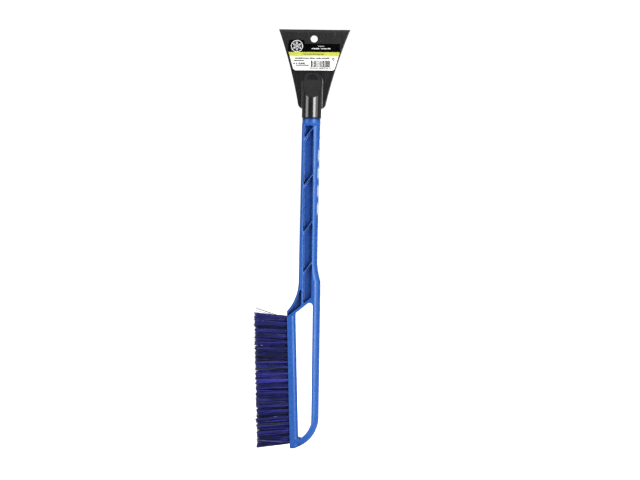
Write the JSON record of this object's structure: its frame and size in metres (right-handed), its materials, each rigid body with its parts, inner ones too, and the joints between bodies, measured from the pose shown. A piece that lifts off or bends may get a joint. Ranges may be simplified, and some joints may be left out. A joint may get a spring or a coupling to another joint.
{
  "type": "snow brush with scraper",
  "caption": "Car snow brush: a flared scraper blade on a round socket, a ribbed shaft with finger grooves, and a D-shaped grip loop whose inner side is a bristle block set with flexible tufts.",
  "frame": {"origin": "centre of the hang hole, halfway through the blade's thickness", "axes": "+Z from the bristle end to the scraping edge, X across the blade with the bristles pointing to -X, -Y out of the face that carries the label"},
  "size_m": [0.1411, 0.0316, 0.6613],
  "materials": {
    "scraper_plastic": "moulded, semi-gloss black",
    "handle_plastic": "moulded, glossy mid blue",
    "label_paper": "printed and laminated",
    "bristle": "extruded filament, navy and near-black mixed",
    "anchor_wire": "flat wire, plain"
  },
  "bodies": {
    "root": {"scraper_head": "scraper_plastic", "handle": "handle_plastic", "label": "label_paper", "tufts_row_1": "bristle", "tufts_row_2": "bristle", "tufts_row_3": "bristle", "tufts_row_4": "bristle", "anchors_row_1": "anchor_wire", "anchors_row_2": "anchor_wire", "anchors_row_3": "anchor_wire", "anchors_row_4": "anchor_wire"}
  },
  "joints": []
}
